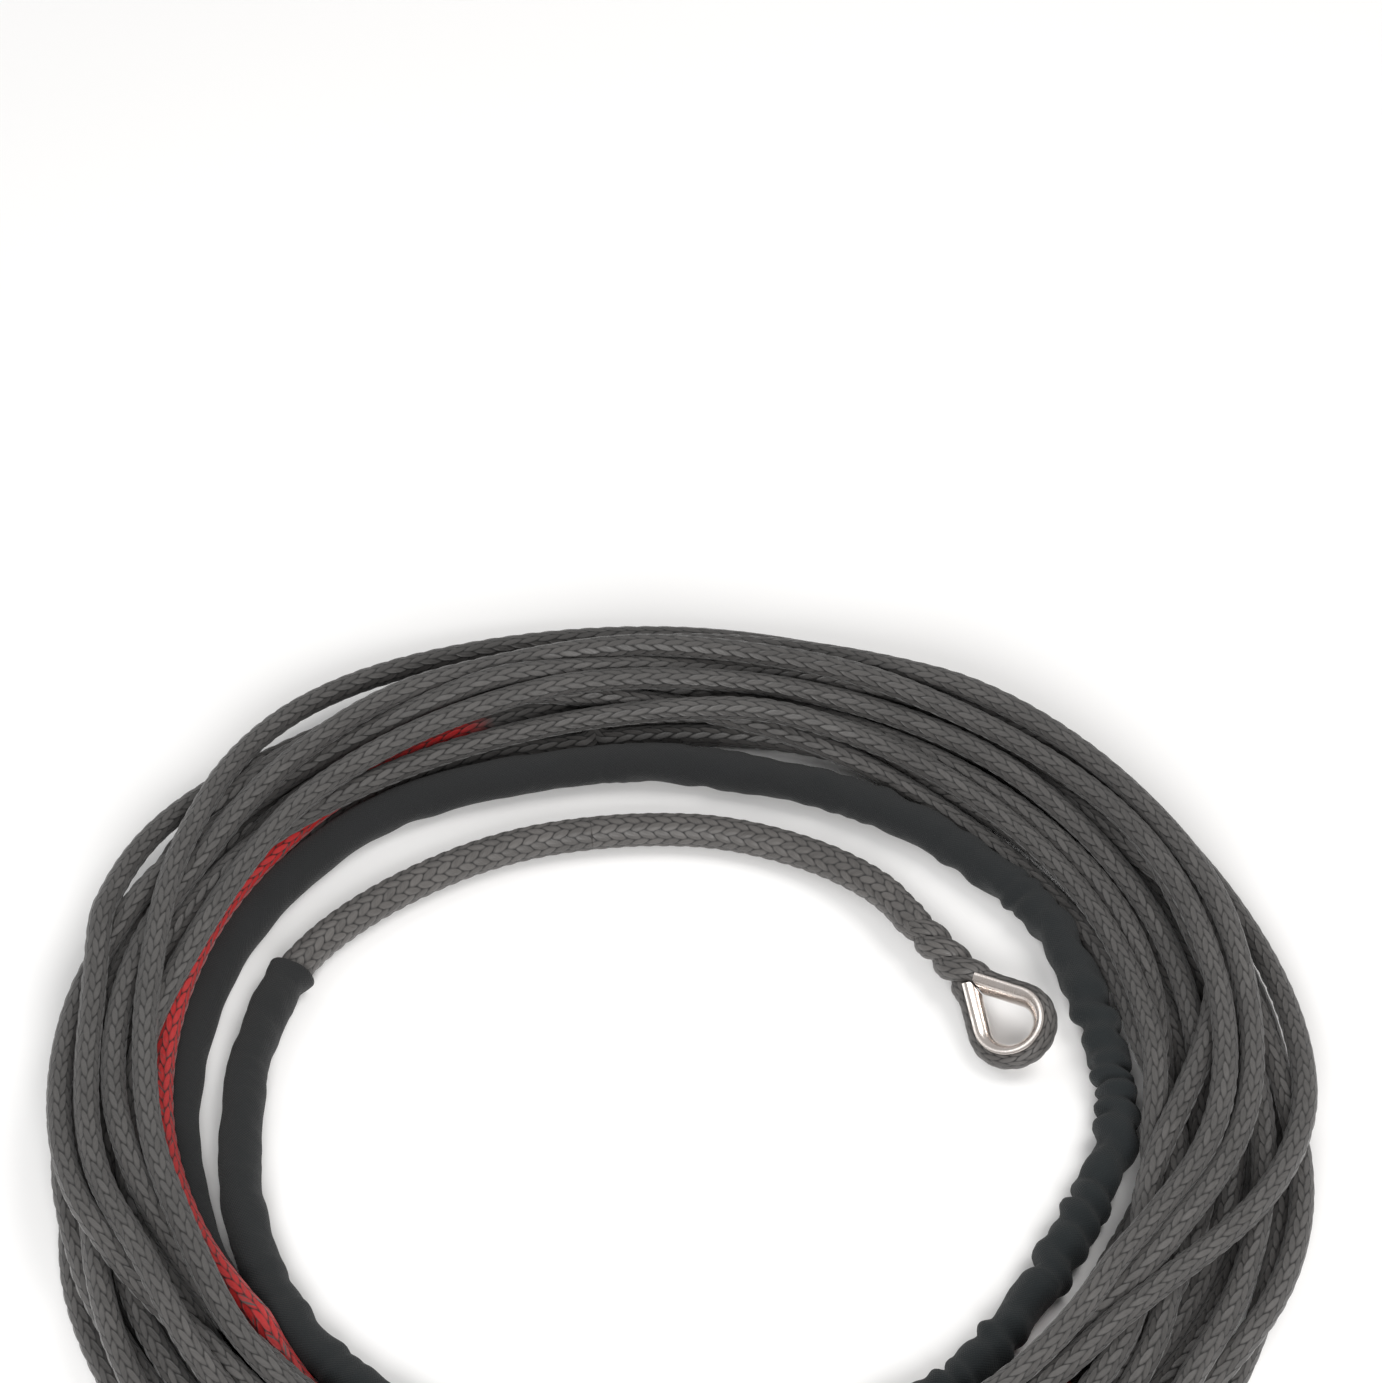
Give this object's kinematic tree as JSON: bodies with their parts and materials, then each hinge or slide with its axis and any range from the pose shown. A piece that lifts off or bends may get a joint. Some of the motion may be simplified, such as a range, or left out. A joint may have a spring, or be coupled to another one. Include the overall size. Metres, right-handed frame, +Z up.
{
  "type": "thimble eye on a synthetic winch rope",
  "caption": "Rope eye spliced round a half-round steel teardrop thimble, on a coiled braided winch rope with an abrasion sleeve and a ring lug at the drum end.",
  "frame": {"origin": "on the floor under the middle of the eye, which is the thimble, the rope round it and the lock splice behind it", "axes": "+X along the eye from the lock splice to the crown, level; +Z up from the floor the rope lies on"},
  "size_m": [0.3899, 0.3438, 0.024],
  "materials": {
    "thimble_steel": "polished stainless steel",
    "rope": "coated twelve-strand braid, warm grey",
    "sleeve": "matt woven nylon, charcoal",
    "shrink": "satin heat-shrink tube",
    "lug_metal": "tinned"
  },
  "bodies": {
    "coil": {"rope_coil": "rope", "sleeved_rope": "rope", "abrasion_sleeve": "sleeve", "rope_end_run": "rope"},
    "lead": {"lead_rope": "rope", "buried_tail": "rope"},
    "eye": {"thimble": "thimble_steel", "eye_loop": "rope", "lock_splice": "rope"},
    "lug": {"drum_lug": "lug_metal", "shrink_tube": "shrink", "crimped_end": "rope"}
  },
  "joints": [
    {"name": "lead_lift", "type": "hinge", "parent": "coil", "child": "lead", "pos_m": [-0.11591, -0.15054, 0.0059], "axis": [0.891, 0.454, 0], "range_deg": [0, 45]},
    {"name": "eye_swing", "type": "hinge", "parent": "lead", "child": "eye", "pos_m": [-0.02885, 0, 0.00817], "axis": [0, 0, 1], "range_deg": [-35, 6]},
    {"name": "lug_swing", "type": "hinge", "parent": "coil", "child": "lug", "pos_m": [0.16004, -0.1543, 0.0053], "axis": [0, 0, 1], "range_deg": [-45, 30]}
  ]
}
